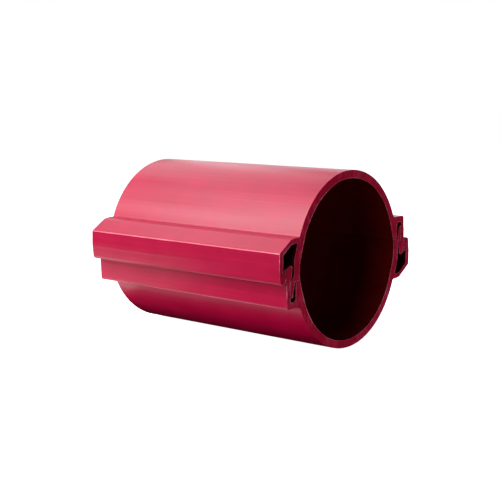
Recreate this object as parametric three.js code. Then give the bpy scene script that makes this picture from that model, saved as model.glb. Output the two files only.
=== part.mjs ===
// A split pipe coupling for cable duct: two identical extruded plastic halves that snap together round a duct.
// Each half carries a hooked latch arm along one side and a barbed catch wall along the other, so a half turned
// by 180 degrees about the duct's axis mates with its twin. To open a latch its arm flexes outwards at its root
// and its catch wall flexes outwards at its foot, so each is a solid of its own that turns about that line.
//
// Frame, in millimetres: X runs along the bore, Z is up, and the origin is on the bore's axis at mid-length.
// Outlines are drawn in the cross-section plane as [out, up]: "out" is the distance from the X axis towards the
// latch, and "up" is height above the centre plane, both as they stand at the upper half's latch arm.

import * as THREE from "three";

// ---- driving dimensions -------------------------------------------------------------------------------------

const LENGTH = 154; // along the bore
const OUTER_RADIUS = 55;
const WALL = 5;
const INNER_RADIUS = OUTER_RADIUS - WALL;
const RELIEF_DEPTH = 1.2; // the bore is this much wider at the centre plane, behind the latches...
const RELIEF_SPAN = Math.PI / 9; // ...and round again at this angle above and below it
const FIT_GAP = 0.3; // clearance between faces of the two halves that meet
const FLEX_GAP = 0.3; // width of the parting line at a flexing wall's root

// The joint line lies below the centre plane on the side of a half's latch arm, and above it on the other side.
const SEAM_DROP = 5.9;
const UNDERSIDE = -SEAM_DROP + FIT_GAP / 2; // where the wall above the joint line ends
const LIP_TOP = -SEAM_DROP - FIT_GAP / 2; // where the wall below it starts

// Latch arm: a shelf off the shell, a slope, and a hanging leg that ends in an inward nose.
const ARM_ROOT_OUT = 55.6; // the arm flexes about this line, at the top of its shelf
const SHELF_ROOT_TOP = 19.6; // height of the shelf's top at the shell...
const SHELF_TOP = 18.9; // ...and at its outer corner
const SHELF_OUT = 59.5;
const CEILING_ROOT = 16.4; // underside of the shelf at the shell...
const CEILING = 15.9; // ...and where it turns down inside the slope
const CEILING_OUT = 59.4;
const LEG_TOP = 12.1; // where the slope turns into the leg
const LEG_OUT = 70.4; // outer face of the leg...
const LEG_LEAN_TOP = 3; // ...which leans in from here...
const LEG_FOOT_OUT = 69.6; // ...to here
const LEG_IN = 66.9; // inner face of the leg
const LEG_IN_TOP = 10.8;
const LEG_BOTTOM = -6.3;
const NOSE_TOE_OUT = 66.3; // the underside of the nose chamfers up from here
const NOSE_BOTTOM = -3.9;

// Box: a floor, an upright catch wall with an arrow-shaped head, and a groove between that wall and the shell.
const NECK_OUT = 63.8; // outer face of the catch wall, just under the head
const BOX_FOOT_OUT = 63.1; // the outer face leans in to here at the floor
const BOX_BOTTOM = -21.3;
const BOX_ROOT_BOTTOM = -21.1; // height of the floor's underside at the shell
const CATCH_FOOT = -14.4; // the catch wall flexes about this line, on its outer face
const GROOVE_OUT = 60.2;
const GROOVE_IN = OUTER_RADIUS;
const GROOVE_BOTTOM = -17.5;
const HEAD_TOP = 4.4;
const HEAD_APEX_OUT = 59.9;
const HEAD_OUT = 65.5;
const HEAD_SLOPE_FOOT = 2.2;
const HEAD_IN = 58.3; // the head's inner face, which leans outwards from its top...
const HEAD_IN_TOP = 3.2;
const HEAD_IN_FOOT_OUT = 58.8; // ...to here
const HEAD_CLEARANCE = 0.45; // height of the head's foot above the twin's tongue shoulder
const BARB_TOP = -0.9; // start of the head's undercut
const BARB_DEPTH = HEAD_OUT - NECK_OUT;
const BARB_DROP = 1.7;

// Tongue: hangs from the wall above the joint line and stands in the groove, against the catch wall.
const CHAMBER_TOP_OUT = 53.4; // the shell's face behind the leg thickens from here...
const CHAMBER_KNEE = [56.4, 7]; // ...to here...
const CHAMBER_FOOT_OUT = 56.8; // ...and then little more
const CHAMBER_FOOT = -2.6;
const TONGUE_OUT = GROOVE_OUT - FIT_GAP;
const TONGUE_SHOULDER = -4.5;
const TONGUE_BOTTOM = -15;
const TONGUE_TIP_IN = 57.8;
const TONGUE_ROOT_IN = 56.2;
const TONGUE_ROOT = -7.4;
const TONGUE_BASE_IN = 55.6;

// Resolution of the rounded stretches.
const SHELL_STEP = Math.PI / 48; // angle between points on the shell's two arcs
const ROUND_STEP = Math.PI / 8; // angle between points on a rounded corner

// ---- outlines -----------------------------------------------------------------------------------------------

const onCircle = (radius, angle) => [
  radius * Math.cos(angle),
  radius * Math.sin(angle),
];

// Angle above the centre plane at which a circle round the bore's axis reaches a height.
const angleAt = (radius, up) => Math.asin(up / radius);

function arc(radiusAt, from, to) {
  const steps = Math.ceil(Math.abs(to - from) / SHELL_STEP);
  return Array.from({ length: steps + 1 }, (_, i) => {
    const angle = from + ((to - from) * i) / steps;
    return onCircle(radiusAt(angle), angle);
  });
}

// Radius of the bore at an angle, measured from the horizontal.
function boreRadius(angle) {
  const fromPlane = Math.abs(angle > Math.PI / 2 ? Math.PI - angle : angle);
  const share = Math.min(1, fromPlane / RELIEF_SPAN);
  return INNER_RADIUS + RELIEF_DEPTH * Math.cos((share * Math.PI) / 2) ** 2;
}

// Angle at which the bore reaches a height near the centre plane.
const boreAngleAt = (up) => angleAt(boreRadius(angleAt(INNER_RADIUS, up)), up);
const borePoint = (up) => onCircle(boreRadius(boreAngleAt(up)), boreAngleAt(up));

// Turns corners [out, up, radius] into points, replacing each corner that has a radius by an arc.
// The first and last corners are kept as they are.
function rounded(corners) {
  const points = [];
  corners.forEach(([x, y, radius = 0], i) => {
    const corner = new THREE.Vector2(x, y);
    if (!radius || i === 0 || i === corners.length - 1) {
      points.push([x, y]);
      return;
    }
    const back = new THREE.Vector2(corners[i - 1][0], corners[i - 1][1]).sub(corner).normalize();
    const ahead = new THREE.Vector2(corners[i + 1][0], corners[i + 1][1]).sub(corner).normalize();
    const half = Math.acos(THREE.MathUtils.clamp(back.dot(ahead), -1, 1)) / 2;
    const bisector = back.clone().add(ahead).normalize();
    const centre = corner.clone().addScaledVector(bisector, radius / Math.sin(half));
    const first = corner.clone().addScaledVector(back, radius / Math.tan(half)).sub(centre);
    const last = corner.clone().addScaledVector(ahead, radius / Math.tan(half)).sub(centre);
    const turn = Math.atan2(first.cross(last), first.dot(last));
    const steps = Math.max(2, Math.ceil(Math.abs(turn) / ROUND_STEP));
    for (let k = 0; k <= steps; k++) {
      const p = first.clone().rotateAround(new THREE.Vector2(), (turn * k) / steps).add(centre);
      points.push([p.x, p.y]);
    }
  });
  return points;
}

// Height of the straight line through two points [out, up], at a distance out.
const heightOnLine = ([out0, up0], [out1, up1], out) =>
  up0 + ((up1 - up0) * (out - out0)) / (out1 - out0);

// Top of the shelf, which falls slightly from the shell to its outer corner.
const shelfTop = (out) =>
  heightOnLine([OUTER_RADIUS, SHELF_ROOT_TOP], [SHELF_OUT, SHELF_TOP], out);

// Underside of the shelf, which falls the same way.
const ceiling = (out) =>
  heightOnLine([OUTER_RADIUS, CEILING_ROOT], [CEILING_OUT, CEILING], out);

// Outer face of the box, which leans in slightly from the head down to the floor.
const boxFace = (up) =>
  THREE.MathUtils.mapLinear(up, BARB_TOP - BARB_DROP, BOX_BOTTOM, NECK_OUT, BOX_FOOT_OUT);

// The latch arm, from its root round the outside to the nose and back along the inside.
function latchArmOutline() {
  const root = ARM_ROOT_OUT + FLEX_GAP / 2;

  // The nose's upper flank runs parallel to the undercut of the head that it catches, one gap below it.
  const undercutFoot = [NECK_OUT, BARB_TOP - BARB_DROP];
  const gapBelow = (FIT_GAP * Math.hypot(BARB_DEPTH, BARB_DROP)) / BARB_DEPTH;
  const flank = (out) => heightOnLine([HEAD_OUT, BARB_TOP], undercutFoot, out) - gapBelow;
  const noseIn = NECK_OUT + FIT_GAP;

  return rounded([
    [root, shelfTop(root)],
    [SHELF_OUT, SHELF_TOP, 1.4],
    [LEG_OUT, LEG_TOP, 0.8],
    [LEG_OUT, LEG_LEAN_TOP],
    [LEG_FOOT_OUT, LEG_BOTTOM, 2.2],
    [NOSE_TOE_OUT, LEG_BOTTOM, 1],
    [noseIn, NOSE_BOTTOM, 0.5],
    [noseIn, flank(noseIn), 0.3],
    [LEG_IN, flank(LEG_IN), 0.5],
    [LEG_IN, LEG_IN_TOP, 0.6],
    [CEILING_OUT, CEILING, 0.8],
    [root, ceiling(root)],
  ]);
}

// The stretch of a half's outline on its latch arm's side: the arm's stub, the face behind the leg, the tongue,
// and the underside that closes on the other half's lip. It runs from the outer arc to the inner one.
function armSideOutline() {
  const stub = ARM_ROOT_OUT - FLEX_GAP / 2;
  return rounded([
    onCircle(OUTER_RADIUS, angleAt(OUTER_RADIUS, SHELF_ROOT_TOP)),
    [stub, shelfTop(stub)],
    [stub, ceiling(stub)],
    [CHAMBER_TOP_OUT, ceiling(CHAMBER_TOP_OUT), 0.6],
    [...CHAMBER_KNEE, 3],
    [CHAMBER_FOOT_OUT, CHAMBER_FOOT, 0.6],
    [TONGUE_OUT, TONGUE_SHOULDER, 0.4],
    [TONGUE_OUT, TONGUE_BOTTOM, 0.8],
    [TONGUE_TIP_IN, TONGUE_BOTTOM, 0.8],
    [TONGUE_ROOT_IN, TONGUE_ROOT, 2],
    [TONGUE_BASE_IN, UNDERSIDE, 0.5],
    borePoint(UNDERSIDE),
  ]);
}

// The stretch on the other side, drawn as it stands under the twin's latch arm: the lip, the groove, the catch
// wall's stub and the box's floor. It runs from the inner arc to the outer one.
function boxSideOutline() {
  const stub = CATCH_FOOT - FLEX_GAP / 2;
  return rounded([
    borePoint(LIP_TOP),
    [GROOVE_IN, LIP_TOP, 1.6],
    [GROOVE_IN, GROOVE_BOTTOM, 1.6],
    [GROOVE_OUT, GROOVE_BOTTOM, 1.6],
    [GROOVE_OUT, stub],
    [boxFace(stub), stub],
    [BOX_FOOT_OUT, BOX_BOTTOM, 1.6],
    onCircle(OUTER_RADIUS, angleAt(OUTER_RADIUS, BOX_ROOT_BOTTOM)),
  ]);
}

// The catch wall with its arrow head, from its foot up the inside and down the outside. The head's inner lobe
// closes on the shoulder of the twin's tongue.
function catchWallOutline() {
  const foot = CATCH_FOOT + FLEX_GAP / 2;
  const shoulderTop = [CHAMBER_FOOT_OUT, CHAMBER_FOOT];
  const shoulderFoot = [TONGUE_OUT, TONGUE_SHOULDER];
  const lobe = (out) => heightOnLine(shoulderTop, shoulderFoot, out) + HEAD_CLEARANCE;
  return rounded([
    [GROOVE_OUT, foot],
    [GROOVE_OUT, lobe(GROOVE_OUT), 0.3],
    [HEAD_IN_FOOT_OUT, lobe(HEAD_IN_FOOT_OUT), 0.3],
    [HEAD_IN, HEAD_IN_TOP, 0.6],
    [HEAD_APEX_OUT, HEAD_TOP, 1],
    [HEAD_OUT, HEAD_SLOPE_FOOT, 0.8],
    [HEAD_OUT, BARB_TOP, 0.3],
    [NECK_OUT, BARB_TOP - BARB_DROP, 0.3],
    [boxFace(foot), foot],
  ]);
}

// How an outline drawn at the upper half's latch arm lies in the cross-section plane [y, z] of that half:
// its latch arm is at -Y, and its own box, drawn as its twin's, is turned round to +Y.
const atArm = (outline) => outline.map(([out, up]) => [-out, up]);
const atBox = (outline) => outline.map(([out, up]) => [out, -up]);

// One whole half without its two flexing walls, as it stands when it is the upper one.
function halfShellOutline() {
  const bore = arc(boreRadius, Math.PI - boreAngleAt(UNDERSIDE), -boreAngleAt(LIP_TOP));
  const back = arc(
    () => OUTER_RADIUS,
    -angleAt(OUTER_RADIUS, BOX_ROOT_BOTTOM),
    Math.PI - angleAt(OUTER_RADIUS, SHELF_ROOT_TOP),
  );
  const armSide = atArm(armSideOutline());
  const boxSide = atBox(boxSideOutline());
  return [...bore, ...boxSide.slice(1), ...back.slice(1), ...armSide.slice(1, -1)];
}

// ---- solids -------------------------------------------------------------------------------------------------

const plastic = () =>
  new THREE.MeshStandardMaterial({ color: 0xc01a4c, roughness: 0.36, metalness: 0 });

// Extrudes an outline of the cross-section plane along the bore, centred on the origin.
function extruded(name, outline) {
  const shape = new THREE.Shape(outline.map(([y, z]) => new THREE.Vector2(y, z)));
  const geometry = new THREE.ExtrudeGeometry(shape, { depth: LENGTH, bevelEnabled: false });
  geometry.translate(0, 0, -LENGTH / 2);
  const mesh = new THREE.Mesh(geometry, plastic());
  mesh.name = name;
  return mesh;
}

// A half's meshes lie in a group whose own axes are the section's y, the section's z and the bore's.
function half(name, turn) {
  const section = new THREE.Group();
  const sectionAxes = new THREE.Matrix4().makeBasis(
    new THREE.Vector3(0, 1, 0),
    new THREE.Vector3(0, 0, 1),
    new THREE.Vector3(1, 0, 0),
  );
  section.quaternion.setFromRotationMatrix(sectionAxes);
  section.add(
    extruded(`${name}_half_shell`, halfShellOutline()),
    extruded(`${name}_latch_arm`, atArm(latchArmOutline())),
    extruded(`${name}_catch_wall`, atBox(catchWallOutline())),
  );

  const turned = new THREE.Group();
  turned.rotation.x = turn;
  turned.add(section);
  return turned;
}

const coupling = new THREE.Group();
coupling.add(half("upper", 0), half("lower", Math.PI));

export default coupling;
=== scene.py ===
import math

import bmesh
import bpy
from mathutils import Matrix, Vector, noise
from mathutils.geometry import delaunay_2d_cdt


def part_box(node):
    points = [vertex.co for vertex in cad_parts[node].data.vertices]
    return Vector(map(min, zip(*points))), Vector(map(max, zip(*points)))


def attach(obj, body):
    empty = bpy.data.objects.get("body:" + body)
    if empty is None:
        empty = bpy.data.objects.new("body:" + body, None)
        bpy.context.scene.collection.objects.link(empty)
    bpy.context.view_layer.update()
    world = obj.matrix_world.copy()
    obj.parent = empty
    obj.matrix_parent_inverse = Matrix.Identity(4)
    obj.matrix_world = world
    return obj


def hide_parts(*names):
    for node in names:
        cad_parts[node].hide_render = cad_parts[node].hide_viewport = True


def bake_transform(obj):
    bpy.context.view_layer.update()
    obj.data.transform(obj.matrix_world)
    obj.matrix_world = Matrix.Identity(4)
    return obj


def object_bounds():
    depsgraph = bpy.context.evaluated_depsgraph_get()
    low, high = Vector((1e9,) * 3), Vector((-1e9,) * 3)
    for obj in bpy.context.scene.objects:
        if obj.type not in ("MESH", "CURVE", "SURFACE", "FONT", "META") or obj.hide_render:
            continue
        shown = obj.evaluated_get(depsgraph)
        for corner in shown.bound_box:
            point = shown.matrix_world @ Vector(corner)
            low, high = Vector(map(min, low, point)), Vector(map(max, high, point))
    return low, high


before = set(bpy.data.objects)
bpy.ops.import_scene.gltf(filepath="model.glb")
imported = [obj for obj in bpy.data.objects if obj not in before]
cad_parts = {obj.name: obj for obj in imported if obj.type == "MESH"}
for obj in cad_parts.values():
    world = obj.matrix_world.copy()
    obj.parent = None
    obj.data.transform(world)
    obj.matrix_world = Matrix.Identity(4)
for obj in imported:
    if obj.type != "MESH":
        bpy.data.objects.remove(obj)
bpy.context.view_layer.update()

# A split pipe coupling: two identical extruded plastic halves that snap together round a duct. Each half is
# shown as three pieces, the half shell and the two walls that flex, which meet it without a line.
#
# Outlines are drawn in millimetres in the plane across the bore as (out, up), where "out" is the distance from
# the bore's axis towards the latch, and "up" is the height, both as they stand at the upper half's latch arm.

MM = 0.001

# ---- dimensions, from the CAD frame --------------------------------------------------------------------------

HALF_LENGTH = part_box("upper_half_shell")[1].x / MM
OUTER_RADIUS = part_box("upper_half_shell")[1].z / MM
WALL = 5.0
INNER_RADIUS = OUTER_RADIUS - WALL
FIT_GAP = 0.3
RELIEF_DEPTH, RELIEF_SPAN = 1.2, math.radians(20)   # the bore is a little wider behind the latches

SEAM_DROP = 5.9
UNDERSIDE = -SEAM_DROP + FIT_GAP / 2
LIP_TOP = -SEAM_DROP - FIT_GAP / 2

ARM_ROOT_OUT = 55.6
SHELF_ROOT_TOP, SHELF_TOP, SHELF_OUT = 19.6, 18.9, 59.5
CEILING_ROOT, CEILING, CEILING_OUT = 16.4, 15.9, 59.4
LEG_TOP, LEG_OUT, LEG_LEAN_TOP, LEG_FOOT_OUT = 12.1, 70.4, 3.0, 69.6
LEG_IN, LEG_IN_TOP, LEG_BOTTOM = 66.9, 10.8, -6.3
NOSE_TOE_OUT, NOSE_BOTTOM = 66.3, -3.9

NECK_OUT, BOX_FOOT_OUT, BOX_BOTTOM, BOX_ROOT_BOTTOM = 63.8, 63.1, -21.3, -21.1
CATCH_FOOT = -14.4
GROOVE_OUT, GROOVE_IN, GROOVE_BOTTOM = 60.2, OUTER_RADIUS, -17.5
HEAD_TOP, HEAD_APEX_OUT, HEAD_OUT, HEAD_SLOPE_FOOT = 4.4, 59.9, 65.5, 2.2
HEAD_IN, HEAD_IN_TOP, HEAD_IN_FOOT_OUT, HEAD_CLEARANCE = 58.3, 3.2, 58.8, 0.45
BARB_TOP, BARB_DROP = -0.9, 1.7
BARB_DEPTH = HEAD_OUT - NECK_OUT

CHAMBER_TOP_OUT, CHAMBER_KNEE, CHAMBER_FOOT_OUT, CHAMBER_FOOT = 53.4, (56.4, 7.0), 56.8, -2.6
TONGUE_OUT, TONGUE_SHOULDER, TONGUE_BOTTOM = GROOVE_OUT - FIT_GAP, -4.5, -15.0
TONGUE_TIP_IN, TONGUE_ROOT_IN, TONGUE_ROOT, TONGUE_BASE_IN = 57.8, 56.2, -7.4, 55.6

ARM_BEND_OUT = SHELF_OUT + 1.0       # the real arm bends between its root and here; nothing here bends it
CATCH_BEND_TOP = CATCH_FOOT + 5.0    # and the catch wall between its foot and here; nothing here bends it either

# Radii of the outlines' corners.
TIGHT, SMALL = 0.4, 0.5
SHELF_ROUND, LEG_TOP_ROUND, LEG_LEAN_ROUND, LEG_FOOT_ROUND, NOSE_TOE_ROUND = 1.6, 0.7, 6.0, 2.2, 1.0
LEG_IN_ROUND, CEILING_ROUND, CHAMBER_ROUND, CHAMBER_KNEE_ROUND = 0.6, 0.8, 0.6, 3.0
TONGUE_TIP_ROUND, TONGUE_ROOT_ROUND, GROOVE_ROUND, BOX_FOOT_ROUND = 0.8, 2.0, 1.7, 1.7
HEAD_IN_ROUND, HEAD_APEX_ROUND, HEAD_OUT_ROUND = 0.6, 1.0, 0.8
SHELF_FILLET = 1.3       # where the shelf meets the shell
FLOOR_FILLET = 2.6       # where the box's floor meets the shell
PAST_FILLET = 9.0        # longer than any fillet's reach

# ---- the mesh's fineness -------------------------------------------------------------------------------------

ARC_SPACING = 1.1        # between points on the shell's arcs
ROUND_TURN = math.radians(14)    # most turn between two points of a rounded corner
LINE_SPACING = 1.3       # between points on straight stretches
CAP_SPACING = 1.4        # between points of the sawn face's net
CAP_ROWS = 0.87          # between the net's rows, as a share of that
CAP_MARGIN = 0.55        # between the net's points and the outline
NET_TOLERANCE = 1e-7
TRIANGLES_INSIDE = 1     # what the triangulation should return
STATIONS = 44            # how many stretches the extrusion has along X
END_STRETCH = 0.35       # from the last station to the sawn end
SHARP = math.radians(32)     # edges that turn more than this stay crisp
TINY = 1e-4
ARC_TOLERANCE = 0.01     # for a point on the shell's outside
BORE_TOLERANCE = 0.05    # for a chord across the bore's arc
LEAST_SLANT = 0.6        # keeps a corner from moving too far when the outline is inset

# ---- saw marks and unevenness --------------------------------------------------------------------------------

BURR_IN = 0.12           # how far inside the outline the burr's crest stands
BURR_HEIGHT, BURR_LEAST = 0.24, 0.02
BURR_WAVE, BURR_WAVE_LENGTH = 1.1, 6.0       # how much its height wanders, and over what distance
BURR_JAG, BURR_JAGS_PER_MM = 0.8, 1.7
RAGGED_FROM, RAGGED_SPAN = -0.6, 0.7         # share of the burr, from the outline's direction
# The burr's light pink is partly its own stress whitening and partly a painted highlight.
WHITENED_AND_HIGHLIGHTED_FROM = 0.4      # edges with at least this share have the burr's material
CAP_IN = 0.30            # where the sawn face starts
BLADE_SHORT, BLADE_WANDER = 0.04, 0.05       # how far inside the end the blade ran, and how much it wandered
BLADE_STREAKS = (0.45, 0.12)                 # per mm, across and upwards
WAVE_SEED, JAG_SEED, BLADE_SEED = 57, 31, 11

# Unevenness of the extrusion: height, length along it and across it, and where the second direction's is read.
RIPPLES = [
    (0.10, 52.0, 60.0, Vector((40, 7, 3))),
    (0.016, 11.0, 17.0, Vector((9, 0, 0))),
]

DIE_LINES = (2.6, 5.0)   # distances round the shell from the shelf
DIE_LINE_DEPTH, DIE_LINE_REACH = 0.11, 0.9
DIE_LINE_FADE = 45.0     # they rise from nothing between this far on either side of the middle

# ---- which material goes where -------------------------------------------------------------------------------

# The bore's material is painted shade: a darker red for the bore and the walls of the chamber and the groove.
SKIN, PAINTED_SHADE, SAWN, BURR, PAINTED_HIGHLIGHT = range(5)
# Two rounded outer edges get a lighter red as a painted highlight.
HIGHLIGHT_EDGES = [((-LEG_OUT, LEG_TOP), 0.45), ((BOX_FOOT_OUT, -BOX_BOTTOM), 0.72)]    # corner and reach
CEILING_MARGIN, SHADE_MARGIN = 0.5, 0.1      # how far past the chamber's and groove's lines the shade reaches

# ---- outlines ------------------------------------------------------------------------------------------------


def polar(radius, angle):
    return (radius * math.cos(angle), radius * math.sin(angle))


def angle_at(radius, up):
    return math.asin(up / radius)


def arc(radius_at, start, end):
    steps = math.ceil(abs(end - start) * OUTER_RADIUS / ARC_SPACING)
    angles = [start + (end - start) * i / steps for i in range(steps + 1)]
    return [polar(radius_at(angle), angle) for angle in angles]


def bore_radius(angle):
    from_plane = abs(math.pi - angle if angle > math.pi / 2 else angle)
    share = min(1.0, from_plane / RELIEF_SPAN)
    return INNER_RADIUS + RELIEF_DEPTH * math.cos(share * math.pi / 2) ** 2


def bore_angle_at(up):
    return angle_at(bore_radius(angle_at(INNER_RADIUS, up)), up)


def bore_point(up):
    return polar(bore_radius(bore_angle_at(up)), bore_angle_at(up))


def on_line(a, b, out):
    return a[1] + (b[1] - a[1]) * (out - a[0]) / (b[0] - a[0])


def rounded(corners):
    """Corners (out, up) or (out, up, radius) as points, with an arc for each corner that has a radius."""
    points = []
    for i, corner in enumerate(corners):
        at = Vector(corner[:2])
        radius = corner[2] if len(corner) > 2 else 0
        if not radius:
            points.append(tuple(at))
            continue
        back = (Vector(corners[i - 1][:2]) - at).normalized()
        ahead = (Vector(corners[i + 1][:2]) - at).normalized()
        half = math.acos(max(-1.0, min(1.0, back.dot(ahead)))) / 2
        centre = at + (back + ahead).normalized() * (radius / math.sin(half))
        first = at + back * (radius / math.tan(half)) - centre
        last = at + ahead * (radius / math.tan(half)) - centre
        turn = math.atan2(first.x * last.y - first.y * last.x, first.dot(last))
        steps = max(2, math.ceil(abs(turn) / ROUND_TURN))
        for k in range(steps + 1):
            points.append(tuple(Matrix.Rotation(turn * k / steps, 2) @ first + centre))
    return points


def filleted_root(up, line_to, radius):
    """Fillet between the outer circle and a wall that leaves it at a height: (points, angle where it starts)."""
    side = 1 if up > 0 else -1
    angle = angle_at(OUTER_RADIUS, up)
    at = Vector(polar(OUTER_RADIUS, angle))
    along = Vector((-math.sin(angle), math.cos(angle))) * side
    away = (Vector(line_to) - at).normalized()
    half = math.acos(along.dot(away)) / 2
    reach = radius / math.tan(half)
    beyond = tuple(at + along * PAST_FILLET)
    corner = rounded([beyond, (*at, radius), line_to])[1:-1]
    return corner, angle + side * reach / OUTER_RADIUS


def shelf_top(out):
    return on_line((OUTER_RADIUS, SHELF_ROOT_TOP), (SHELF_OUT, SHELF_TOP), out)


def ceiling(out):
    return on_line((OUTER_RADIUS, CEILING_ROOT), (CEILING_OUT, CEILING), out)


def box_face(up):
    share = (up - (BARB_TOP - BARB_DROP)) / (BOX_BOTTOM - (BARB_TOP - BARB_DROP))
    return NECK_OUT + (BOX_FOOT_OUT - NECK_OUT) * share


def latch_arm_outline():
    gap_below = FIT_GAP * math.hypot(BARB_DEPTH, BARB_DROP) / BARB_DEPTH

    def flank(out):
        return on_line((HEAD_OUT, BARB_TOP), (NECK_OUT, BARB_TOP - BARB_DROP), out) - gap_below

    nose_in = NECK_OUT + FIT_GAP
    return rounded([
        (ARM_ROOT_OUT, shelf_top(ARM_ROOT_OUT)),
        (SHELF_OUT, SHELF_TOP, SHELF_ROUND),
        (LEG_OUT, LEG_TOP, LEG_TOP_ROUND),
        (LEG_OUT, LEG_LEAN_TOP, LEG_LEAN_ROUND),
        (LEG_FOOT_OUT, LEG_BOTTOM, LEG_FOOT_ROUND),
        (NOSE_TOE_OUT, LEG_BOTTOM, NOSE_TOE_ROUND),
        (nose_in, NOSE_BOTTOM, SMALL),
        (nose_in, flank(nose_in), TIGHT),
        (LEG_IN, flank(LEG_IN), SMALL),
        (LEG_IN, LEG_IN_TOP, LEG_IN_ROUND),
        (CEILING_OUT, CEILING, CEILING_ROUND),
        (ARM_ROOT_OUT, ceiling(ARM_ROOT_OUT)),
    ])


def arm_side_outline():
    root, _ = filleted_root(SHELF_ROOT_TOP, (SHELF_OUT, SHELF_TOP), SHELF_FILLET)
    return root + rounded([
        (ARM_ROOT_OUT, shelf_top(ARM_ROOT_OUT)),
        (ARM_ROOT_OUT, ceiling(ARM_ROOT_OUT)),
        (CHAMBER_TOP_OUT, ceiling(CHAMBER_TOP_OUT), CHAMBER_ROUND),
        (*CHAMBER_KNEE, CHAMBER_KNEE_ROUND),
        (CHAMBER_FOOT_OUT, CHAMBER_FOOT, CHAMBER_ROUND),
        (TONGUE_OUT, TONGUE_SHOULDER, TIGHT),
        (TONGUE_OUT, TONGUE_BOTTOM, TONGUE_TIP_ROUND),
        (TONGUE_TIP_IN, TONGUE_BOTTOM, TONGUE_TIP_ROUND),
        (TONGUE_ROOT_IN, TONGUE_ROOT, TONGUE_ROOT_ROUND),
        (TONGUE_BASE_IN, UNDERSIDE, SMALL),
        bore_point(UNDERSIDE),
    ])


def box_side_outline():
    foot_corner = (BOX_FOOT_OUT, BOX_BOTTOM)
    root, _ = filleted_root(BOX_ROOT_BOTTOM, foot_corner, FLOOR_FILLET)
    return rounded([
        bore_point(LIP_TOP),
        (GROOVE_IN, LIP_TOP, GROOVE_ROUND),
        (GROOVE_IN, GROOVE_BOTTOM, GROOVE_ROUND),
        (GROOVE_OUT, GROOVE_BOTTOM, GROOVE_ROUND),
        (GROOVE_OUT, CATCH_FOOT),
        (box_face(CATCH_FOOT), CATCH_FOOT),
        (*foot_corner, BOX_FOOT_ROUND),
        root[-1],
    ]) + root[::-1][1:]


def catch_wall_outline():
    shoulder = (CHAMBER_FOOT_OUT, CHAMBER_FOOT), (TONGUE_OUT, TONGUE_SHOULDER)

    def lobe(out):
        return on_line(*shoulder, out) + HEAD_CLEARANCE

    return rounded([
        (GROOVE_OUT, CATCH_FOOT),
        (GROOVE_OUT, lobe(GROOVE_OUT), TIGHT),
        (HEAD_IN_FOOT_OUT, lobe(HEAD_IN_FOOT_OUT), TIGHT),
        (HEAD_IN, HEAD_IN_TOP, HEAD_IN_ROUND),
        (HEAD_APEX_OUT, HEAD_TOP, HEAD_APEX_ROUND),
        (HEAD_OUT, HEAD_SLOPE_FOOT, HEAD_OUT_ROUND),
        (HEAD_OUT, BARB_TOP, TIGHT),
        (NECK_OUT, BARB_TOP - BARB_DROP, TIGHT),
        (box_face(CATCH_FOOT), CATCH_FOOT),
    ])


def at_arm(outline):
    """The outline in the upper half's place, as (Y, Z), on the side of its latch arm."""
    return [(-out, up) for out, up in outline]


def at_box(outline):
    """The same on the side of its box, where up and down change places."""
    return [(out, -up) for out, up in outline]


def half_shell_outline():
    _, top_angle = filleted_root(SHELF_ROOT_TOP, (SHELF_OUT, SHELF_TOP), SHELF_FILLET)
    _, low_angle = filleted_root(BOX_ROOT_BOTTOM, (BOX_FOOT_OUT, BOX_BOTTOM), FLOOR_FILLET)
    bore = arc(bore_radius, math.pi - bore_angle_at(UNDERSIDE), -bore_angle_at(LIP_TOP))
    back = arc(lambda angle: OUTER_RADIUS, -low_angle, math.pi - top_angle)
    return bore + at_box(box_side_outline())[1:] + back[1:] + at_arm(arm_side_outline())[1:-1]


# ---- from outline to mesh ------------------------------------------------------------------------------------

def spread(outline):
    """The closed outline with long straight stretches divided, running anticlockwise."""
    points = []
    for a, b in zip(outline, outline[1:] + outline[:1]):
        a, b = Vector(a), Vector(b)
        length = (b - a).length
        if length < TINY:
            continue
        steps = math.ceil(length / LINE_SPACING)
        points += [a.lerp(b, k / steps) for k in range(steps)]
    area = sum(a.x * b.y - a.y * b.x for a, b in zip(points, points[1:] + points[:1]))
    return points if area > 0 else points[::-1]


def on_cut(p):
    """True on the two lines where a flexing wall's piece meets its half shell's, in the upper half's place."""
    out, up = -p.x, p.y
    if abs(out - ARM_ROOT_OUT) < TINY and ceiling(out) - TINY < up < shelf_top(out) + TINY:
        return True
    out, up = p.x, -p.y
    return abs(up - CATCH_FOOT) < TINY and GROOVE_OUT - TINY < out < box_face(CATCH_FOOT) + TINY


def inside_cut(points):
    """For each point, whether it and both its neighbours are on a cut."""
    on = [on_cut(p) for p in points]
    return [a and b and c for a, b, c in zip(on[-1:] + on[:-1], on, on[1:] + on[:1])]


def inset(points, distance):
    """The outline moved into the material. A point at the end of a cut moves along the cut."""
    moved = []
    for before, at, after in zip(points[-1:] + points[:-1], points, points[1:] + points[:1]):
        a, b = (at - before).normalized(), (after - at).normalized()
        if on_cut(at) and on_cut(before) != on_cut(after):
            moved.append(at + (b if on_cut(after) else -a) * distance)
            continue
        left = Vector((-a.y - b.y, a.x + b.x)).normalized()
        stretch = 1 / max(LEAST_SLANT, left.dot(Vector((-a.y, a.x))))
        moved.append(at + left * distance * stretch)
    return moved


def ripple(x, y, z):
    """Slow unevenness of the extrusion, in mm, as (dy, dz). It's the same for pieces that meet."""
    dy = dz = 0.0
    for height, along, across, aside in RIPPLES:
        at = Vector((x / along, y / across, z / across))
        dy += height * noise.noise(at)
        dz += height * noise.noise(at + aside)
    return dy, dz


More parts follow.
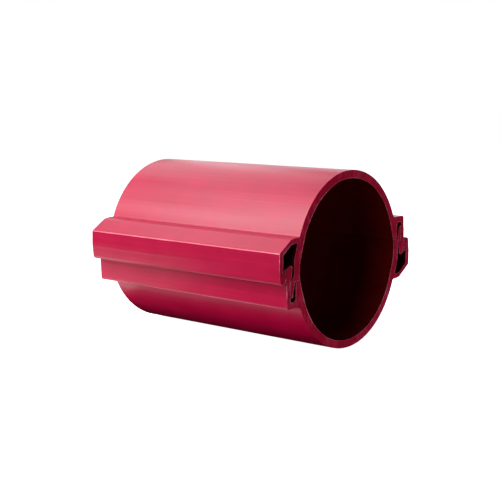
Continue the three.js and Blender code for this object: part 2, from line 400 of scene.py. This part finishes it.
def with_die_lines(x, p):
    """A point of the outline, pressed in a little where it is on one of the shallow lines above the shelf."""
    if p.x > 0 or abs(p.length - OUTER_RADIUS) > ARC_TOLERANCE:
        return p
    above = OUTER_RADIUS * (math.asin(p.y / p.length) - angle_at(OUTER_RADIUS, SHELF_ROOT_TOP))
    share = max(0.0, 1 - min(abs(above - line) for line in DIE_LINES) / DIE_LINE_REACH)
    fade = max(0.0, min(1.0, (x + DIE_LINE_FADE) / (2 * DIE_LINE_FADE)))
    return p * (1 - DIE_LINE_DEPTH * share * fade / OUTER_RADIUS)


def in_bore(a, b):
    middle = (a + b) / 2
    return all(abs(p.length - bore_radius(math.atan2(abs(p.y), abs(p.x)))) < BORE_TOLERANCE
               for p in (a, b, middle))


def in_shade(a, b):
    """True on the walls of the latch's chamber and of the groove, which get painted shade as the bore does."""
    middle = (a + b) / 2
    out, up = (-middle.x, middle.y) if middle.x < 0 else (middle.x, -middle.y)
    slope = on_line((CEILING_OUT, CEILING), (LEG_IN, LEG_IN_TOP), out)
    under_ceiling = up < min(ceiling(out), slope) + CEILING_MARGIN
    in_chamber = out < LEG_IN + SHADE_MARGIN and up > BARB_TOP - BARB_DROP
    in_groove = out < GROOVE_OUT + SHADE_MARGIN and up > GROOVE_BOTTOM - SHADE_MARGIN
    return under_ceiling and (in_chamber or in_groove)


def on_highlight_edge(a, b):
    """True along the outer edges painted a little lighter than the rest, as a highlight."""
    middle = (a + b) / 2
    return any((middle - Vector(corner)).length < reach for corner, reach in HIGHLIGHT_EDGES)


def skin_between(a, b):
    """The material of the extruded surface between two neighbouring points of the outline."""
    # The bore, the chamber and the groove are painted darker, as shade.
    if in_bore(a, b) or in_shade(a, b):
        return PAINTED_SHADE
    return PAINTED_HIGHLIGHT if on_highlight_edge(a, b) else SKIN


def raggedness(points):
    """For each point, 0 to 1: the blade leaves its burr on the edges that face the seam."""
    shares = []
    for before, after in zip(points[-1:] + points[:-1], points[1:] + points[:1]):
        along = (after - before).normalized()
        shares.append(max(0.0, min(1.0, (along.x - RAGGED_FROM) / RAGGED_SPAN)))
    return shares


def stations():
    """Distances along X at which the outline is repeated."""
    inner = [-HALF_LENGTH + 2 * HALF_LENGTH * k / STATIONS for k in range(1, STATIONS)]
    return [-HALF_LENGTH + END_STRETCH, *inner, HALF_LENGTH - END_STRETCH]


def blade(p, side):
    """How far from the middle the saw's blade left a point of the end face."""
    across, upwards = BLADE_STREAKS
    wander = noise.noise(Vector((p.x * across, p.y * upwards, side * BLADE_SEED)))
    return HALF_LENGTH - BLADE_SHORT + BLADE_WANDER * wander


def burr(p, share, side):
    """How far the burr's crest stands past the end, over a point of the outline."""
    jag = noise.noise(Vector((p.x * BURR_JAGS_PER_MM, p.y * BURR_JAGS_PER_MM, side * JAG_SEED)))
    wave = noise.noise(Vector((p.x / BURR_WAVE_LENGTH, p.y / BURR_WAVE_LENGTH, side * WAVE_SEED)))
    return max(BURR_LEAST, BURR_HEIGHT * share * (1 + BURR_WAVE * wave + BURR_JAG * jag))


def extrusion(name, outline, turned):
    """One extruded piece, sawn at both ends, with a burr standing along the saw cuts' edges."""
    points = spread(outline)
    count = len(points)
    bm = bmesh.new()

    def place(x, p):
        y, z = with_die_lines(-x if turned else x, p)
        if turned:
            y, z = -y, -z
        dy, dz = ripple(x, y, z)
        return bm.verts.new((x * MM, (y + dy) * MM, (z + dz) * MM))

    def bridge(low, high, materials):
        for i in range(count):
            j = (i + 1) % count
            corners = list(dict.fromkeys((low[i], low[j], high[j], high[i])))
            if len(corners) < 3:
                continue
            face = bm.faces.new(corners)
            face.material_index = materials[i]
            face.smooth = True

    ragged = raggedness(points)
    on_edges = [BURR if share > WHITENED_AND_HIGHLIGHTED_FROM else SAWN for share in ragged]
    on_skin = [skin_between(a, b) for a, b in zip(points, points[1:] + points[:1])]

    loops = [[place(x, p) for p in points] for x in stations()]
    for low, high in zip(loops, loops[1:]):
        bridge(low, high, on_skin)

    joined = inside_cut(points)
    crest = inset(points, BURR_IN)
    start = [p if cut else q for p, q, cut in zip(points, inset(points, CAP_IN), joined)]
    for side in (-1, 1):
        edge = [place(side * (blade(p, side) if cut else HALF_LENGTH), p) for p, cut in zip(points, joined)]
        top = [v if cut else place(side * (HALF_LENGTH + burr(p, share, side)), q)
               for v, p, q, cut, share in zip(edge, points, crest, joined, ragged)]
        face = [v if cut else place(side * blade(p, side), p) for v, p, cut in zip(edge, start, joined)]
        last = loops[-1] if side > 0 else loops[0]
        for a, b, materials in ((last, edge, on_skin), (edge, top, on_edges), (top, face, on_edges)):
            bridge(*((a, b) if side > 0 else (b, a)), materials)
        cap(bm, face, start, side, place)

    bmesh.ops.recalc_face_normals(bm, faces=bm.faces)
    mesh = bpy.data.meshes.new(name)
    bm.to_mesh(mesh)
    bm.free()
    mesh.set_sharp_from_angle(angle=SHARP)
    piece = bpy.data.objects.new(name, mesh)
    bpy.context.scene.collection.objects.link(piece)
    return piece


def cap(bm, rim, start, side, place):
    """The sawn face inside a rim: a fine net whose points stand slightly uneven, as the blade left them."""
    low = Vector((min(p.x for p in start), min(p.y for p in start)))
    high = Vector((max(p.x for p in start), max(p.y for p in start)))
    rows = int((high.y - low.y) / (CAP_SPACING * CAP_ROWS))
    columns = int((high.x - low.x) / CAP_SPACING)
    inner = []
    for r in range(1, rows):
        for c in range(columns + 1):
            p = Vector((low.x + (c + (r % 2) / 2) * CAP_SPACING, low.y + r * CAP_SPACING * CAP_ROWS))
            if depth_inside(p, start) > CAP_MARGIN:
                inner.append(p)
    count = len(start)
    loop = list(range(count))
    sides = [(i, (i + 1) % count) for i in loop]
    net = delaunay_2d_cdt([*start, *inner], sides, [loop], TRIANGLES_INSIDE, NET_TOLERANCE)
    verts, _, faces, origin = net[:4]
    made = []
    for p, from_input in zip(verts, origin):
        first = min(from_input, default=count)
        made.append(rim[first] if first < count else place(side * blade(p, side), p))
    for f in faces:
        face = bm.faces.new([made[i] for i in (f if side > 0 else f[::-1])])
        face.material_index = SAWN
        face.smooth = True


def depth_inside(p, points):
    """Distance from a point to the outline, negative outside it."""
    inside, nearest = False, 1e9
    for a, b in zip(points, points[1:] + points[:1]):
        if (a.y > p.y) != (b.y > p.y) and p.x < (b.x - a.x) * (p.y - a.y) / (b.y - a.y) + a.x:
            inside = not inside
        d = b - a
        t = max(0.0, min(1.0, (p - a).dot(d) / d.length_squared))
        nearest = min(nearest, (a + d * t - p).length_squared)
    return math.sqrt(nearest) * (1 if inside else -1)


# ---- materials -----------------------------------------------------------------------------------------------

BLOTCHES = 60.0              # per metre
MOTTLE_LOW, MOTTLE_HIGH = 0.3, 0.7   # the noise's usual range
TONES = (0.25, 0.5, 0.75)    # where a plastic's three colours stand in that range
BUMP_DEPTH = 0.1 * MM
EVEN = (1.0, 1.0, 1.0)
ALONG_X = (0.01, 1.0, 1.0)
UPRIGHT = (1.0, 1.0, 0.12)


def add(tree, kind, **values):
    node = tree.nodes.new(kind)
    for key, value in values.items():
        setattr(node, key, value)
    return node


def plastic(name, colours, roughness, stretch, level, lines, scratches, relief):
    """Coloured plastic, whose tone and gloss drift in blotches and in fine lines.

    lines is the lines' weight beside the blotches, scratches is how many there are in a metre, and relief is the
    strength of their bump. They run in the direction in which stretch is small. level is the specular level.
    """
    material = bpy.data.materials.new(name)
    material.use_nodes = True
    tree = material.node_tree
    tree.nodes.clear()
    link = tree.links.new
    out = add(tree, "ShaderNodeOutputMaterial")
    shader = add(tree, "ShaderNodeBsdfPrincipled")
    link(shader.outputs["BSDF"], out.inputs["Surface"])
    coords = add(tree, "ShaderNodeTexCoord")

    def grain(scale, stretched, detail):
        mapping = add(tree, "ShaderNodeMapping")
        mapping.inputs["Scale"].default_value = stretched
        link(coords.outputs["Object"], mapping.inputs["Vector"])
        texture = add(tree, "ShaderNodeTexNoise")
        texture.inputs["Scale"].default_value = scale
        texture.inputs["Detail"].default_value = detail
        link(mapping.outputs["Vector"], texture.inputs["Vector"])
        return texture.outputs["Fac"]

    def mixed(value, share, rest):
        """value * share + rest"""
        node = add(tree, "ShaderNodeMath", operation="MULTIPLY_ADD")
        link(value, node.inputs[0])
        node.inputs[1].default_value = share
        link(rest, node.inputs[2])
        return node.outputs[0]

    def spread_to(value, low, high, start, end):
        node = add(tree, "ShaderNodeMapRange")
        for socket, number in zip(("From Min", "From Max", "To Min", "To Max"), (low, high, start, end)):
            node.inputs[socket].default_value = number
        link(value, node.inputs["Value"])
        return node.outputs["Result"]

    blotches = grain(BLOTCHES, EVEN, detail=2.0)
    fine = grain(scratches, stretch, detail=1.0)
    both = mixed(fine, lines, blotches)
    mottle = (MOTTLE_LOW, MOTTLE_HIGH + lines)

    ramp = add(tree, "ShaderNodeValToRGB")
    elements = ramp.color_ramp.elements
    elements.new(TONES[1])
    for element, position, colour in zip(elements, TONES, colours):
        element.position = position
        element.color = (*colour, 1.0)
    link(spread_to(both, *mottle, 0.0, 1.0), ramp.inputs["Fac"])
    link(ramp.outputs["Color"], shader.inputs["Base Color"])
    link(spread_to(both, *mottle, *roughness), shader.inputs["Roughness"])

    bump = add(tree, "ShaderNodeBump")
    bump.inputs["Strength"].default_value = relief
    bump.inputs["Distance"].default_value = BUMP_DEPTH
    link(fine, bump.inputs["Height"])
    link(bump.outputs["Normal"], shader.inputs["Normal"])
    shader.inputs["Specular IOR Level"].default_value = level
    return material


# In the order of the skin, the bore's painted shade, the sawn face, the burr's whitening and painted highlight,
# and the edges' painted highlight.
MATERIALS = [
    plastic("crimson_skin", [(0.45, 0.0006, 0.042), (0.50, 0.0008, 0.048), (0.55, 0.0012, 0.054)],
            (0.27, 0.38), ALONG_X, 0.5, lines=0.9, scratches=700.0, relief=0.7),
    # Painted shade: a darker red than the skin's, for the bore and the walls of the chamber and the groove.
    plastic("crimson_bore_painted_shade", [(0.12, 0.003, 0.004), (0.14, 0.004, 0.0045), (0.16, 0.005, 0.005)],
            (0.5, 0.7), ALONG_X, 0.0, lines=0.5, scratches=700.0, relief=0.3),
    plastic("crimson_sawn", [(0.58, 0.003, 0.038), (0.76, 0.006, 0.062), (0.90, 0.06, 0.17)],
            (0.6, 0.8), UPRIGHT, 0.05, lines=1.0, scratches=1200.0, relief=0.8),
    # The burr: partly the plastic's own stress whitening, partly a painted highlight.
    plastic("crimson_burr_whitened_and_highlighted", [(0.65, 0.02, 0.09), (1.0, 0.20, 0.34), (1.0, 0.60, 0.72)],
            (0.4, 0.6), EVEN, 0.2, lines=1.0, scratches=800.0, relief=0.4),
    # A lighter red for two rounded outer edges: a painted highlight.
    plastic("crimson_painted_highlight", [(0.72, 0.06, 0.11), (0.85, 0.13, 0.21), (0.95, 0.26, 0.35)],
            (0.3, 0.4), ALONG_X, 0.5, lines=0.9, scratches=700.0, relief=0.3),
]


# ---- pieces --------------------------------------------------------------------------------------------------

def finish_piece(piece, node):
    for material in MATERIALS:
        piece.data.materials.append(material)
    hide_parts(node)


def halves():
    outlines = {
        "shell": half_shell_outline(),
        "arm": at_arm(latch_arm_outline()),
        "catch": at_box(catch_wall_outline()),
    }
    for half, turned in (("upper", False), ("lower", True)):
        sign = -1 if turned else 1

        def at(y, z):
            return (0.0, sign * y * MM, sign * z * MM)

        shell = extrusion(f"{half}_shell_extrusion", outlines["shell"], turned)
        finish_piece(shell, f"{half}_half_shell")
        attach(shell, f"{half}_half")

        arm = extrusion(f"{half}_arm_extrusion", outlines["arm"], turned)
        finish_piece(arm, f"{half}_latch_arm")
        at(-ARM_ROOT_OUT, SHELF_TOP)
        at(-ARM_BEND_OUT, SHELF_TOP)
        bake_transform(arm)

        catch = extrusion(f"{half}_catch_extrusion", outlines["catch"], turned)
        finish_piece(catch, f"{half}_catch_wall")
        at(NECK_OUT, -CATCH_FOOT)
        at(NECK_OUT, -CATCH_BEND_TOP)
        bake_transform(catch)


halves()

# ---- floor, light and camera ---------------------------------------------------------------------------------

AZIMUTH, ELEVATION = math.radians(39.17), math.radians(8.91)
DISTANCE = 0.6872
FRAME = 500              # the picture's width, in pixels
FOCAL = 1042.5           # in pixels
OFFSET = (1.93, 2.50)    # how far the origin stands off the frame's middle, in pixels
SENSOR = 36.0
CLIP = (0.01, 50.0)

FLOOR_HALF_SIZE = 6.0
FLOOR_DROP = 0.0002      # keeps the floor clear of the object
FLOOR_ROUGHNESS = 0.9
FLOOR_GLOW = 1.0         # the floor is lit from beneath as well

# Soft boxes round the object: azimuth and elevation in degrees, watts, and size in metres.
LIGHTS = [
    (0, 5, 4.0, 0.6), (0, 42, 1.7, 0.6),
    (120, -5, 2.4, 0.6), (210, 12, 1.40, 0.6), (240, 38, 1.61, 0.6),
    (270, -10, 1.9, 0.6), (300, -30, 0.4, 0.6), (270, 62, 0.77, 0.6),
    (300, 38, 1.7, 0.6), (300, 62, 1.59, 0.6),
    (330, 38, 4.2, 0.6), (330, 62, 0.81, 0.6), (340, 62, 1.3, 0.6),
    (312, 33, 0.7, 0.2),
]
LIGHT_DISTANCE = 1.0

# Patches of lit paper on the floor beside the object: place, sides in metres, watts.
LIT_PAPER = [
    (Vector((-0.245, -0.120, -0.0545)), (0.31, 0.14), 0.20),
    (Vector((0.0, -0.0725, -0.0545)), (0.20, 0.025), 0.02),
]


def away_from_object(azimuth, elevation):
    """The direction from the object towards an azimuth and elevation."""
    return Vector((math.sin(azimuth) * math.cos(elevation), -math.cos(azimuth) * math.cos(elevation),
                   math.sin(elevation)))


def make_camera():
    back = away_from_object(AZIMUTH, ELEVATION)
    right = Vector((math.cos(AZIMUTH), math.sin(AZIMUTH), 0))
    up = back.cross(right)
    data = bpy.data.cameras.new("camera")
    data.sensor_width = SENSOR
    data.lens = SENSOR * FOCAL / FRAME
    data.clip_start, data.clip_end = CLIP
    camera = bpy.data.objects.new("camera", data)
    camera.location = DISTANCE * (back - right * OFFSET[0] / FOCAL - up * OFFSET[1] / FOCAL)
    camera.rotation_mode = "QUATERNION"
    camera.rotation_quaternion = Matrix((right, up, back)).transposed().to_quaternion()
    bpy.context.scene.collection.objects.link(camera)
    bpy.context.scene.camera = camera


def make_floor():
    """White paper that glows, and neither shades nor lights the object: the patches of lit paper do that."""
    bm = bmesh.new()
    bmesh.ops.create_grid(bm, x_segments=2, y_segments=2, size=FLOOR_HALF_SIZE)
    mesh = bpy.data.meshes.new("floor")
    bm.to_mesh(mesh)
    bm.free()
    floor = bpy.data.objects.new("floor", mesh)
    floor.location.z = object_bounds()[0].z - FLOOR_DROP
    bpy.context.scene.collection.objects.link(floor)
    material = bpy.data.materials.new("floor_paper")
    material.use_nodes = True
    shader = material.node_tree.nodes["Principled BSDF"]
    shader.inputs["Base Color"].default_value = (0.9, 0.9, 0.9, 1)
    shader.inputs["Roughness"].default_value = FLOOR_ROUGHNESS
    shader.inputs["Specular IOR Level"].default_value = 0.0
    shader.inputs["Emission Color"].default_value = (1, 1, 1, 1)
    shader.inputs["Emission Strength"].default_value = FLOOR_GLOW
    mesh.materials.append(material)
    floor.visible_diffuse = False
    floor.visible_glossy = False
    floor.visible_shadow = False


def soft_box(name, place, towards, sides, watts):
    data = bpy.data.lights.new(name, "AREA")
    data.shape = "RECTANGLE"
    data.size, data.size_y = sides
    data.energy = watts
    lamp = bpy.data.objects.new(name, data)
    lamp.location = place
    lamp.rotation_mode = "QUATERNION"
    lamp.rotation_quaternion = towards.to_track_quat("-Z", "Y")
    lamp.visible_camera = False
    bpy.context.scene.collection.objects.link(lamp)


def make_lights():
    for i, (azimuth, elevation, watts, size) in enumerate(LIGHTS):
        away = away_from_object(math.radians(azimuth), math.radians(elevation))
        soft_box(f"soft_box_{i}", away * LIGHT_DISTANCE, -away, (size, size), watts)
    for i, (place, sides, watts) in enumerate(LIT_PAPER):
        soft_box(f"lit_paper_{i}", place, Vector((0, 0, 1)), sides, watts)


def make_world():
    """A white room behind the object. The soft boxes alone light it."""
    world = bpy.data.worlds.new("studio")
    world.use_nodes = True
    tree = world.node_tree
    tree.nodes.clear()
    out = add(tree, "ShaderNodeOutputWorld")
    background = add(tree, "ShaderNodeBackground")
    background.inputs["Color"].default_value = (1, 1, 1, 1)
    tree.links.new(background.outputs[0], out.inputs["Surface"])
    world.cycles_visibility.diffuse = False
    world.cycles_visibility.glossy = False
    bpy.context.scene.world = world


make_camera()
make_floor()
make_world()
make_lights()
bpy.context.scene.view_settings.view_transform = "Standard"
